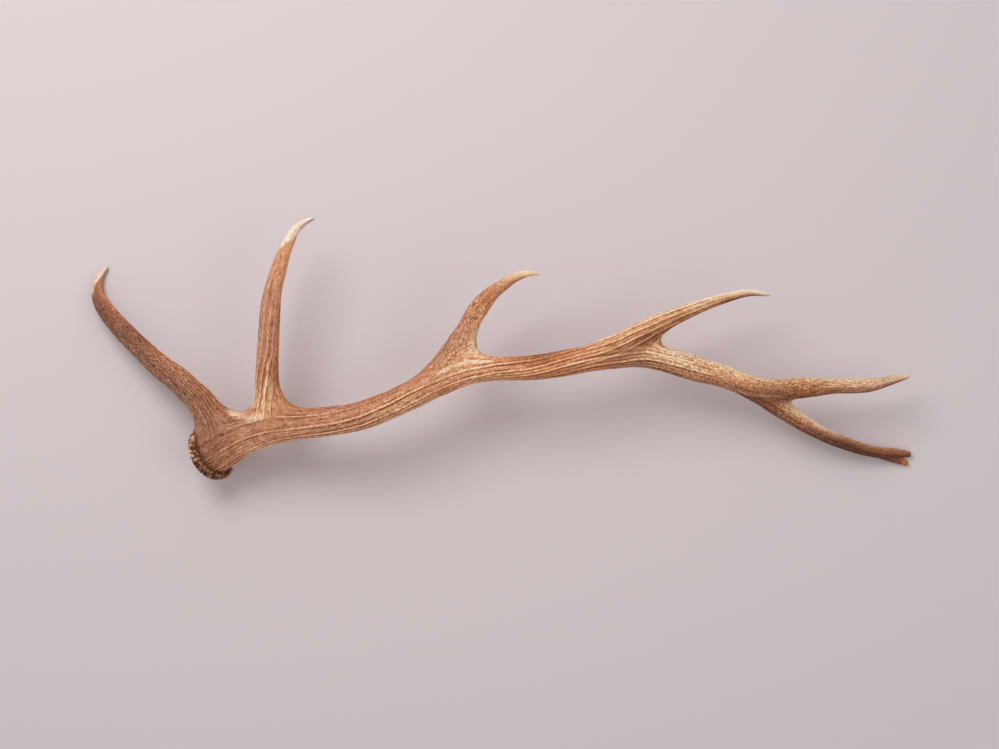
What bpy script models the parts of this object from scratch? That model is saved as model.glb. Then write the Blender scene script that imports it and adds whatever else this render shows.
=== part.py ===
"""A shed elk antler with six points, lying on its side.

The antler grew as one piece. Here its beam and tines are tubes that are fused, webbed at the forks,
given their long ridges and the beaded burr, and then sawn through at the main forks, so that each
limb is one object.

Frame: X runs from the burr to the tip of the beam, Y towards the tips of the tines, Z is up. The
origin is on the surface that the antler lies on, under the middle of the antler.
"""

import math

import bmesh
import bpy
import numpy as np
from mathutils import Matrix, Vector

MM = 0.001

# Centre lines, root to tip, in millimetres: x, y, z and the half width there.
BEAM = [
    (-440, -160, 38, 32.5), (-417, -148, 50, 32), (-392, -134, 61, 30.5), (-365, -124, 70, 27.5),
    (-335, -117.5, 79, 24.7), (-297, -113, 87, 22.5), (-251, -108, 94, 21.5), (-206, -100, 100, 21),
    (-162, -84, 105, 20.5), (-125, -67, 108, 20.5), (-88, -51, 110, 18.5), (-51, -37, 111, 17.5),
    (-14, -31, 111, 17), (23, -30, 110, 17.5), (60, -28, 109, 18), (97, -22, 107, 19),
    (134, -15, 104, 19.5), (171, -11, 101, 19), (208, -10, 97, 18), (238, -15, 93, 17.5),
    (268, -23, 88, 18.5), (298, -32, 82, 18.5), (329, -40, 76, 17), (360, -53, 70, 15.5),
    (390, -69, 63, 15), (421, -89, 56, 14), (452, -109, 49, 12.5), (484, -127, 41, 10.5),
    (515, -140, 32, 10), (547, -151, 23, 9), (579, -158, 14, 8.5), (600, -159, 8.7, 7.5),
    (616, -160, 6.5, 5.5), (630, -161, 5, 3.4),
]
CHIP = [(584, -162, 9.7, 6), (606, -169, 6, 5.4), (624, -175.5, 4, 3.4)]
BROW = [
    (-430, -150, 50, 29), (-429, -125, 54, 26), (-436, -101, 57, 23), (-451, -77, 57, 21),
    (-466, -63, 56, 19.5), (-483, -47, 54, 19), (-515, -23, 50, 17), (-546, 5, 42, 15.5),
    (-579, 37, 32, 14), (-599, 60, 24, 12.5), (-610, 77, 17, 10.3), (-614, 93, 11, 8.3),
    (-612, 107, 7.5, 6.4), (-606.5, 117, 5.6, 4.4), (-602, 121.8, 4.8, 3.1), (-599, 125, 4.2, 1.6),
]
BEZ = [
    (-349, -122, 74, 24), (-346, -95, 80, 22), (-345, -69, 86, 19), (-345, -47, 91, 17.5),
    (-344, -25, 96, 16.5), (-342, 5, 101, 16), (-340, 34, 105, 15.3), (-338, 61, 108, 14.5),
    (-334, 86, 110, 13), (-326, 115, 111, 11.7), (-317, 143, 110, 9.7), (-310, 160, 108, 8.9),
    (-304, 172, 106, 7.7), (-294, 182, 103, 6), (-285, 188, 100, 4.1), (-278.5, 191.3, 98, 2.8),
    (-274.5, 193, 96.6, 1.6),
]
TREZ = [
    (-140, -73, 105, 18), (-114, -57, 108, 19), (-91, -37, 111, 19), (-71, -12, 114, 18.5),
    (-57, 10, 117, 17.5), (-47, 28, 120, 15.5), (-39, 44, 123, 14.5), (-31, 57, 126, 14),
    (-18, 73, 130, 12), (-7, 83, 133, 10), (7, 93, 135, 8.3), (19, 101, 136, 7.2),
    (31, 106, 136, 6), (43, 108.8, 135, 4.4), (51, 108.8, 134.2, 3.1), (57.5, 107.8, 133.4, 1.5),
]
ROYAL = [
    (119, -17, 105, 17.5), (148, -8, 105.5, 18.5), (175, 3, 107, 18), (198, 16, 108, 16.2),
    (222, 29, 109, 14.8), (240, 38, 110, 13.6), (266, 50, 110, 11.2), (296, 62, 108, 9.4),
    (326, 72, 105, 7.5), (356, 80, 101, 6.2), (371, 82, 99, 5.1), (386, 81.5, 97, 3.9),
    (396, 80.2, 96, 2.9), (401, 79.2, 95.5, 1.7),
]
FIFTH = [
    (283, -26, 85, 16), (321, -38, 78, 16), (352, -48, 74, 15), (382, -57, 72, 14.5),
    (412, -61, 71, 15), (442, -60, 71, 15.5), (471, -58, 72, 13.7), (501, -56, 72, 11.5),
    (531, -56, 71, 11), (554, -55, 70, 9.9), (574, -51, 68, 8), (589, -47, 66, 6.6),
    (601, -44, 66, 5), (608.5, -42.4, 65.2, 3.8), (613, -41.6, 64.8, 2.2),
]

# Each limb: its centre line, the width of the web that joins it to the limbs before it, the long
# ridges round it and how high they stand at its root.
LIMBS = {
    "beam": (BEAM, 0, 10, 1.6),
    "chip": (CHIP, 5, 5, 0.0),
    "brow": (BROW, 84, 9, 1.3),
    "bez": (BEZ, 84, 8, 1.2),
    "trez": (TREZ, 62, 8, 1.2),
    "royal": (ROYAL, 46, 8, 1.1),
    "fifth": (FIFTH, 24, 7, 1.0),
}

# The middle of the antler's outline in the frame of the centre lines, taken as the origin.
MIDDLE = (2.7, -1.9, 0.6)

BURR_WEB = 9.0
BURR_CENTRE = (-436.0, -157.0, 38.1)
BURR_AXIS = (0.76, 0.39, 0.52)
BURR_RADIUS = 42.0
BURR_HALF_THICK = 5.5
BURR_ROUND = 5.0
BURR_BEADS = 26
BEAD_HEIGHT = 3.4
SEAL_DEPTH = 9.0
SEAL_CUTTER_RADIUS = 46.0
SEAL_CUTTER_DEPTH = 40.0
RIDGE_TWIST = 0.0035
FIRST_VOXEL = 4.5
FINE_VOXEL = 2.6
TRIANGLES = 7900
SAW_WIDTH = 0.3

# Each saw cut: limb, distance along its centre line and the saw's radius.
SAW_CUTS = [
    ("brow", 88, 30), ("bez", 76, 28), ("beam", 165, 34), ("trez", 122, 28), ("beam", 466, 28),
    ("royal", 140, 24), ("beam", 746, 26), ("fifth", 178, 20), ("beam", 938, 20),
]

# Each limb as sawn: its node, a point inside it and its colour and roughness.
PIECES = {
    "burr_base": ((-392, -137, 62), (0.30, 0.17, 0.10), 0.62),
    "brow_tine": ((-546, 5, 42), (0.27, 0.15, 0.09), 0.60),
    "bez_tine": ((-340, 34, 105), (0.45, 0.27, 0.16), 0.55),
    "lower_beam": ((-162, -84, 105), (0.50, 0.29, 0.17), 0.55),
    "trez_tine": ((-31, 57, 126), (0.46, 0.28, 0.16), 0.52),
    "middle_beam": ((60, -28, 109), (0.52, 0.31, 0.18), 0.53),
    "royal_tine": ((296, 62, 108), (0.58, 0.37, 0.22), 0.50),
    "upper_beam": ((298, -32, 82), (0.55, 0.34, 0.20), 0.52),
    "fifth_tine": ((531, -56, 71), (0.50, 0.30, 0.17), 0.50),
    "beam_tip": ((515, -140, 32), (0.24, 0.12, 0.07), 0.58),
}


def smooth_path(points, step):
    """A rounded path through the points, with rows of x, y, z and half width about a step apart."""
    rows = np.array(points, float) - np.array(MIDDLE + (0,))
    before = np.vstack([2 * rows[0] - rows[1], rows[:-1]])
    after = np.vstack([rows[1:], 2 * rows[-1] - rows[-2]])
    slopes = (after - before) / 2
    path = [rows[:1]]
    for a, b, sa, sb in zip(rows, rows[1:], slopes, slopes[1:]):
        count = max(2, math.ceil(np.linalg.norm(b[:3] - a[:3]) / step))
        t = np.linspace(0, 1, count + 1)[1:, None]
        path.append(
            (2 * t**3 - 3 * t**2 + 1) * a + (t**3 - 2 * t**2 + t) * sa
            + (3 * t**2 - 2 * t**3) * b + (t**3 - t**2) * sb
        )
    return np.vstack(path)


def side_vectors(path):
    """A direction square to the path at each of its points, carried along without twisting."""
    tangents = np.gradient(path[:, :3], axis=0)
    tangents /= np.linalg.norm(tangents, axis=1)[:, None]
    sides = np.empty_like(tangents)
    side = np.array([0.0, 0.0, 1.0])
    for i, tangent in enumerate(tangents):
        side = side - tangent * side.dot(tangent)
        side /= np.linalg.norm(side)
        sides[i] = side
    return tangents, sides


class Limb:
    """A tapered tube: its distance field and the place of a point along and around it."""

    def __init__(self, points, web, ridges, ridge_height):
        self.path = smooth_path(points, 6.0)
        self.tangents, self.sides = side_vectors(self.path)
        gaps = np.linalg.norm(np.diff(self.path[:, :3], axis=0), axis=1)
        self.along = np.concatenate([[0], np.cumsum(gaps)])
        self.web = web
        self.ridges = ridges
        self.ridge_height = ridge_height

    def measure(self, points):
        """Distance to the surface, outward direction, way along and turn around for each point."""
        best = np.full(len(points), np.inf)
        row = np.zeros(len(points))
        for i in range(len(self.path) - 1):
            a, b = self.path[i], self.path[i + 1]
            span = b[:3] - a[:3]
            offset = points - a[:3]
            t = np.clip(offset @ span / span.dot(span), 0, 1)
            gap = np.linalg.norm(offset - t[:, None] * span, axis=1) - (a[3] + t * (b[3] - a[3]))
            nearer = gap < best
            best[nearer] = gap[nearer]
            row[nearer] = (i + t)[nearer]
        index = np.minimum(row.astype(int), len(self.path) - 2)
        part = (row - index)[:, None]

        def between(values):
            return values[index] * (1 - part) + values[index + 1] * part

        out = points - between(self.path[:, :3])
        out /= np.maximum(np.linalg.norm(out, axis=1), 1e-6)[:, None]
        side, tangent = between(self.sides), between(self.tangents)
        across = np.cross(tangent, side)
        turn = np.arctan2((out * across).sum(1), (out * side).sum(1))
        way = np.interp(row, np.arange(len(self.along)), self.along)
        return best, out, way, turn


def burr_centre():
    return np.array(BURR_CENTRE) - np.array(MIDDLE)


def burr_distance(points):
    """Distance to the rounded disc of the burr, the outward direction and the turn round its rim."""
    axis = np.array(BURR_AXIS) / np.linalg.norm(BURR_AXIS)
    side = np.cross(axis, (0.0, 0.0, 1.0))
    side /= np.linalg.norm(side)
    up = np.cross(side, axis)
    offset = points - burr_centre()
    height = offset @ axis
    flat = offset - height[:, None] * axis
    radius = np.linalg.norm(flat, axis=1)
    turn = np.arctan2(flat @ up, flat @ side)
    over = np.maximum(radius - (BURR_RADIUS - BURR_ROUND), 0)
    above = np.sign(height) * np.maximum(np.abs(height) - (BURR_HALF_THICK - BURR_ROUND), 0)
    reach = np.hypot(over, above)
    out = flat / np.maximum(radius, 1e-6)[:, None] * over[:, None] + above[:, None] * axis
    out /= np.maximum(reach, 1e-6)[:, None]
    return reach - BURR_ROUND, out, turn, height


def blend(first, second, web):
    """Joins two fields, filling only where their surfaces face each other."""
    (a, na), (b, nb) = first, second
    facing = (1 - (na * nb).sum(1)) / 2
    width = web * facing + 1e-3
    near = np.maximum(width - np.abs(a - b), 0) / width
    share = np.where(a < b, 1 - near / 2, near / 2)[:, None]
    out = na * share + nb * (1 - share)
    out /= np.maximum(np.linalg.norm(out, axis=1), 1e-6)[:, None]
    return np.minimum(a, b) - near**2 * width / 4, out


def settle(points, limbs, passes=4):
    """Moves points onto the webbed surface of all the limbs and the burr."""
    for _ in range(passes):
        field = None
        for limb in limbs.values():
            gap, out, _, _ = limb.measure(points)
            field = (gap, out) if field is None else blend(field, (gap, out), limb.web)
        gap, out, _, _ = burr_distance(points)
        gap, out = blend(field, (gap, out), BURR_WEB)
        points = points - out * (np.clip(gap, -4, 4) * 0.8)[:, None]
    return points, out


def ridges(limb, way, turn):
    """Height of the long ridges: rounded crests with narrow furrows, dying out towards the tip."""
    length = limb.along[-1]
    wander = 0.5 * np.sin(way / 61.0) + 0.35 * np.sin(way / 23.0 + turn)
    wave = np.cos(limb.ridges * turn + RIDGE_TWIST * limb.ridges * way + wander)
    second = np.cos((limb.ridges / 2 + 1.5) * turn - way / 95.0)
    crest = 0.65 * (1 - np.abs(wave) ** 1.5 * (wave < 0) * 2) + 0.35 * second
    fade = np.clip((length - way) / (0.45 * length), 0, 1) ** 0.7
    return limb.ridge_height * fade * crest


def relief(points, limbs):
    """Height of the surface detail over the smooth form."""
    gaps, heights = [], []
    for limb in limbs.values():
        gap, _, way, turn = limb.measure(points)
        gaps.append(gap)
        heights.append(ridges(limb, way, turn))
    gaps, heights = np.array(gaps), np.array(heights)
    weights = np.exp(-(gaps - gaps.min(0)) / 5.0)
    height = (weights * heights).sum(0) / weights.sum(0)
    gap, _, turn, level = burr_distance(points)
    on_rim = np.clip(1 - gap / 4.0, 0, 1)
    bead = np.abs(np.cos(turn * BURR_BEADS / 2)) ** 1.3 * 2 - 1
    uneven = 0.75 + 0.25 * np.sin(3 * turn + 1.0)
    rim = BEAD_HEIGHT / 2 * bead * uneven * np.clip(1 - np.abs(level) / 14.0, 0, 1)
    return height * (1 - on_rim) + rim * on_rim


def tube(name, points):
    """A limb as a closed mesh, swept by a bevelled curve."""
    curve = bpy.data.curves.new(name, "CURVE")
    curve.dimensions = "3D"
    curve.bevel_depth = MM
    curve.bevel_resolution = 5
    curve.use_fill_caps = True
    path = smooth_path(points, 9.0)
    spline = curve.splines.new("POLY")
    spline.points.add(len(path) - 1)
    for point, (x, y, z, half_width) in zip(spline.points, path):
        point.co = (x * MM, y * MM, z * MM, 1)
        point.radius = half_width
    swept = bpy.data.objects.new(name, curve)
    bpy.context.scene.collection.objects.link(swept)
    bpy.context.view_layer.update()
    graph = bpy.context.evaluated_depsgraph_get()
    mesh = bpy.data.meshes.new_from_object(swept.evaluated_get(graph))
    bpy.data.objects.remove(swept)
    bm = bmesh.new()
    bm.from_mesh(mesh)
    bmesh.ops.remove_doubles(bm, verts=bm.verts, dist=0.00001)
    bm.to_mesh(mesh)
    bm.free()
    solid = bpy.data.objects.new(name, mesh)
    bpy.context.scene.collection.objects.link(solid)
    return solid


def disc(name, centre, axis, radius, thickness):
    """A flat round solid across an axis, in millimetres."""
    mesh = bpy.data.meshes.new(name)
    bm = bmesh.new()
    bmesh.ops.create_cone(
        bm, cap_ends=True, segments=32,
        radius1=radius * MM, radius2=radius * MM, depth=thickness * MM,
    )
    turn = Vector((0, 0, 1)).rotation_difference(Vector(axis)).to_matrix().to_4x4()
    bm.transform(Matrix.Translation(Vector(centre) * MM) @ turn)
    bm.to_mesh(mesh)
    bm.free()
    solid = bpy.data.objects.new(name, mesh)
    bpy.context.scene.collection.objects.link(solid)
    return solid


def joined(name, objects):
    """One object out of several."""
    with bpy.context.temp_override(active_object=objects[0], selected_editable_objects=objects):
        bpy.ops.object.join()
    objects[0].name = name
    return objects[0]


def evaluated(thing):
    """Replaces an object's mesh with what its modifiers make of it."""
    bpy.context.view_layer.update()
    graph = bpy.context.evaluated_depsgraph_get()
    mesh = bpy.data.meshes.new_from_object(thing.evaluated_get(graph))
    thing.modifiers.clear()
    thing.data = mesh


def read_points(mesh):
    """The mesh's points in millimetres."""
    flat = np.empty(len(mesh.vertices) * 3)
    mesh.vertices.foreach_get("co", flat)
    return flat.reshape(-1, 3) / MM


def write_points(mesh, points):
    mesh.vertices.foreach_set("co", (points * MM).ravel())
    mesh.update()


def remesh(thing, voxel):
    skin = thing.modifiers.new("Skin", "REMESH")
    skin.mode = "VOXEL"
    skin.voxel_size = voxel * MM
    evaluated(thing)


def fused_antler(limbs):
    """All limbs and the burr in one skin, with its webs, ridges and beads."""
    solids = [tube(name, points) for name, (points, *_) in LIMBS.items()]
    solids.append(disc("burr", burr_centre(), BURR_AXIS, BURR_RADIUS, 2 * BURR_HALF_THICK))
    antler = joined("antler", solids)
    for voxel in (FIRST_VOXEL, FINE_VOXEL):
        remesh(antler, voxel)
        points, _ = settle(read_points(antler.data), limbs)
        write_points(antler.data, points)
    points = read_points(antler.data)
    normals = np.array([v.normal for v in antler.data.vertices])
    write_points(antler.data, points + normals * relief(points, limbs)[:, None])
    return antler


def thin_out(thing, triangles):
    """Fewer triangles, kept where the form turns most."""
    bm = bmesh.new()
    bm.from_mesh(thing.data)
    bmesh.ops.triangulate(bm, faces=bm.faces)
    count = len(bm.faces)
    bm.to_mesh(thing.data)
    bm.free()
    thinner = thing.modifiers.new("Thinner", "DECIMATE")
    thinner.ratio = triangles / count
    evaluated(thing)


def rest_on_surface(thing):
    """Small flats where the burr, the brow tine and the tip of the beam bear on the surface."""
    points = read_points(thing.data)
    points[:, 2] = np.maximum(points[:, 2], 0)
    write_points(thing.data, points)


def subtract(thing, cutter):
    """Takes the cutter's shape out of an object and removes the cutter."""
    cutter.hide_render = True
    cutter.display_type = "WIRE"
    cut = thing.modifiers.new("Cut", "BOOLEAN")
    cut.operation = "DIFFERENCE"
    cut.solver = "EXACT"
    cut.object = cutter
    evaluated(thing)
    bpy.data.objects.remove(cutter)


def cut_seal(thing):
    """The flat seal on the underside of the burr, where the antler let go."""
    axis = np.array(BURR_AXIS) / np.linalg.norm(BURR_AXIS)
    middle = burr_centre() - axis * (SEAL_DEPTH + SEAL_CUTTER_DEPTH / 2)
    subtract(thing, disc("seal_cutter", middle, axis, SEAL_CUTTER_RADIUS, SEAL_CUTTER_DEPTH))


def saw(thing, limbs):
    """Saws through the limbs at the main forks and returns the loose pieces."""
    blades = []
    for number, (name, distance, radius) in enumerate(SAW_CUTS):
        limb = limbs[name]
        row = int(np.searchsorted(limb.along, distance))
        centre, tangent = limb.path[row, :3], limb.tangents[row]
        blades.append(disc(f"blade_{number}", centre, tangent, radius, SAW_WIDTH))
    subtract(thing, joined("saw_blades", blades))
    others = set(bpy.data.objects)
    with bpy.context.temp_override(active_object=thing, selected_editable_objects=[thing]):
        bpy.ops.mesh.separate(type="LOOSE")
    return [thing] + [o for o in bpy.data.objects if o not in others]


def nearest_piece(thing):
    """The name of the limb whose inner point lies nearest to the object's points."""
    points = read_points(thing.data)

    def gap(name):
        inside = np.array(PIECES[name][0]) - np.array(MIDDLE)
        return np.linalg.norm(points - inside, axis=1).min()

    return min(PIECES, key=gap)


def antler_material(name, colour, roughness):
    material = bpy.data.materials.new(name)
    material.use_nodes = True
    shader = material.node_tree.nodes["Principled BSDF"]
    shader.inputs["Base Color"].default_value = (*colour, 1)
    shader.inputs["Roughness"].default_value = roughness
    shader.inputs["Metallic"].default_value = 0
    return material


def main():
    for thing in list(bpy.data.objects):
        bpy.data.objects.remove(thing)
    limbs = {name: Limb(*values) for name, values in LIMBS.items()}
    antler = fused_antler(limbs)
    thin_out(antler, TRIANGLES)
    rest_on_surface(antler)
    cut_seal(antler)
    pieces = saw(antler, limbs)
    collection = bpy.data.collections.new("elk_antler_shed")
    bpy.context.scene.collection.children.link(collection)
    for piece in pieces:
        name = nearest_piece(piece)
        _, colour, roughness = PIECES[name]
        piece.name = name
        piece.data.materials.clear()
        piece.data.materials.append(antler_material(name, colour, roughness))
        piece.data.shade_smooth()
        piece.data.set_sharp_from_angle(angle=math.radians(50))
        for old in list(piece.users_collection):
            old.objects.unlink(piece)
        collection.objects.link(piece)


main()
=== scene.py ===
"""The looks of a shed elk antler: one skin of bone with its ridges, pearls and polished tips.

Sizes are in millimetres until a mesh is written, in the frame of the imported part. The skin is fused
from swept limbs, drawn onto one smooth webbed surface, given its relief, and divided where the part
is sawn, so that each piece stands for one node.
"""

import itertools
import math

import bpy
import numpy as np
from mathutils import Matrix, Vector


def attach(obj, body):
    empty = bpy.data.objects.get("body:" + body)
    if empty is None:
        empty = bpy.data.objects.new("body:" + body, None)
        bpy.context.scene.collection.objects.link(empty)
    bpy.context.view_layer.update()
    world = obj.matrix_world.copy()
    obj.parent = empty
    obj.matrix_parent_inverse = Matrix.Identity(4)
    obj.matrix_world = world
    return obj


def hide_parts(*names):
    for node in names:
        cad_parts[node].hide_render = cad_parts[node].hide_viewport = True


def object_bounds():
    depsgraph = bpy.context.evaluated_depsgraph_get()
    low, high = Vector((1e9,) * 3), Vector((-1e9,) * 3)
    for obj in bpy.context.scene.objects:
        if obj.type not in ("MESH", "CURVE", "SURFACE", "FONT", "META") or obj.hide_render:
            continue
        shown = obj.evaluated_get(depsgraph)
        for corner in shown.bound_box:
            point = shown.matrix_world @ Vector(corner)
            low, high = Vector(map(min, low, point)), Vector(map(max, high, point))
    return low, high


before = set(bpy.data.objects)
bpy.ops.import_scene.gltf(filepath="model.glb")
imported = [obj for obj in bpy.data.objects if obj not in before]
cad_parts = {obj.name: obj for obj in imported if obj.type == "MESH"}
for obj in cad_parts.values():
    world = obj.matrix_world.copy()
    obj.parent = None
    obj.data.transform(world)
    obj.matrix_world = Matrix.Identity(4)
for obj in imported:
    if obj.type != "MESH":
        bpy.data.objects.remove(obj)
cad_low, cad_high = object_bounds()

MM = 0.001

# Centre lines, root to tip: x, y, z and the half width there.
BEAM = [
    (-440, -160, 38, 32.5), (-417, -148, 50, 32), (-392, -134, 61, 30.5), (-365, -124, 70, 27.5),
    (-335, -117.5, 79, 24.7), (-297, -113, 87, 22.5), (-251, -108, 94, 21.5), (-206, -100, 100, 21),
    (-162, -84, 105, 20.5), (-125, -67, 108, 20.5), (-88, -51, 110, 18.5), (-51, -37, 111, 17.5),
    (-14, -31, 111, 17), (23, -30, 110, 17.5), (60, -28, 109, 18), (97, -22, 107, 19),
    (134, -15, 104, 19.5), (171, -11, 101, 19), (208, -10, 97, 18), (238, -15, 93, 17.5),
    (268, -23, 88, 18.5), (298, -32, 82, 18.5), (329, -40, 76, 17), (360, -53, 70, 15.5),
    (390, -69, 63, 15), (421, -89, 56, 14), (452, -109, 49, 12.5), (484, -127, 41, 10.5),
    (515, -140, 32, 10), (547, -151, 23, 9), (579, -158, 14, 8.5), (600, -159, 8.7, 7.5),
    (616, -160, 6.5, 5.5), (630, -161, 5, 3.4),
]
CHIP = [(584, -162, 9.7, 6), (606, -169, 6, 5.4), (624, -175.5, 4, 3.4)]
BROW = [
    (-430, -150, 50, 29), (-429, -125, 54, 26), (-436, -101, 57, 23), (-451, -77, 57, 21),
    (-466, -63, 56, 19.5), (-483, -47, 54, 19), (-515, -23, 50, 17), (-546, 5, 42, 15.5),
    (-579, 37, 32, 14), (-599, 60, 24, 12.5), (-610, 77, 17, 10.3), (-614, 93, 11, 8.3),
    (-612, 107, 7.5, 6.4), (-606.5, 117, 5.6, 4.4), (-602, 121.8, 4.8, 3.1), (-599, 125, 4.2, 1.6),
]
BEZ = [
    (-349, -122, 74, 24), (-346, -95, 80, 22), (-345, -69, 86, 19), (-345, -47, 91, 17.5),
    (-344, -25, 96, 16.5), (-342, 5, 101, 16), (-340, 34, 105, 15.3), (-338, 61, 108, 14.5),
    (-334, 86, 110, 13), (-326, 115, 111, 11.7), (-317, 143, 110, 9.7), (-310, 160, 108, 8.9),
    (-304, 172, 106, 7.7), (-294, 182, 103, 6), (-285, 188, 100, 4.1), (-278.5, 191.3, 98, 2.8),
    (-274.5, 193, 96.6, 1.6),
]
TREZ = [
    (-140, -73, 105, 18), (-114, -57, 108, 19), (-91, -37, 111, 19), (-71, -12, 114, 18.5),
    (-57, 10, 117, 17.5), (-47, 28, 120, 15.5), (-39, 44, 123, 14.5), (-31, 57, 126, 14),
    (-18, 73, 130, 12), (-7, 83, 133, 10), (7, 93, 135, 8.3), (19, 101, 136, 7.2),
    (31, 106, 136, 6), (43, 108.8, 135, 4.4), (51, 108.8, 134.2, 3.1), (57.5, 107.8, 133.4, 1.5),
]
ROYAL = [
    (119, -17, 105, 17.5), (148, -8, 105.5, 18.5), (175, 3, 107, 18), (198, 16, 108, 16.2),
    (222, 29, 109, 14.8), (240, 38, 110, 13.6), (266, 50, 110, 11.2), (296, 62, 108, 9.4),
    (326, 72, 105, 7.5), (356, 80, 101, 6.2), (371, 82, 99, 5.1), (386, 81.5, 97, 3.9),
    (396, 80.2, 96, 2.9), (401, 79.2, 95.5, 1.7),
]
FIFTH = [
    (283, -26, 85, 16), (321, -38, 78, 16), (352, -48, 74, 15), (382, -57, 72, 14.5),
    (412, -61, 71, 15), (442, -60, 71, 15.5), (471, -58, 72, 13.7), (501, -56, 72, 11.5),
    (531, -56, 71, 11), (554, -55, 70, 9.9), (574, -51, 68, 8), (589, -47, 66, 6.6),
    (601, -44, 66, 5), (608.5, -42.4, 65.2, 3.8), (613, -41.6, 64.8, 2.2),
]

# The middle of the antler's outline in the frame of the centre lines, taken as the origin.
MIDDLE = (2.7, -1.9, 0.6)

# The burr is a rounded disc; the seal under it is a shallow dome, whose grain runs no one way.
BURR_CENTRE = (-436.0, -157.0, 38.1)
BURR_AXIS = (0.76, 0.39, 0.52)
BURR_RADIUS = 42.0
BURR_HALF_THICK = 5.5
BURR_ROUND = 5.0
BURR_WEB = 9.0
SEAL_DEPTH = 9.0
SEAL_DOME = 3.0
SEAL_RADIUS = 34.0
SEAL_ROUND = 4.0
SEAL_REACH = 52.0
SEAL_EDGE = 44.0
SEAL_GRAIN = (5.0, 1.0, 1.0)
SEAL_GRAIN_REACH = 48.0

# Voxel sizes of the three skins, how far a limb reaches in the webs and in the grain, how many rows
# of its path make its sharp tip, and a distance past everything.
COARSE_VOXEL = 4.5
MIDDLE_VOXEL = 2.4
FINE_VOXEL = 0.96
WEB_REACH = 115.0
GRAIN_REACH = 45.0
TIP_ROWS = 8
FAR = 1000.0

# Spacing of the rows of a path: for the fields, for the swept tubes and for the sharp tips.
FIELD_STEP = 6.0
TUBE_STEP = 9.0
TIP_STEP = 3.0
TUBE_SIDES = 28
BURR_SIDES = 48
RING_ROWS = 60

# Noise drawn out along the grain: its size along and across it, and its seed.
GRAIN = {
    "wander": ((85, 14, 14), 3), "short wander": ((30, 9, 9), 4),
    "thread": ((50, 2.4, 2.4), 11), "dash": ((7, 1.7, 1.7), 12), "long dash": ((16, 1.5, 1.5), 13),
    "pearl": ((3.4, 1.8, 1.8), 14), "lump": ((26, 8, 8), 15),
    "ragged": ((9, 3.5, 3.5), 21), "ring": ((2.6, 40, 40), 22), "band": ((14, 3, 3), 23),
    "stain": ((4.5, 2.4, 2.4), 24), "splinter": ((7, 1.5, 1.5), 44),
}

# Half widths of a standing ridge's crest and of the furrows beside it, and how far off they lie.
CREST_WIDTH = 1.4
FURROW_WIDTH = 1.1
FURROW_OFFSET = 2.7

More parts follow.
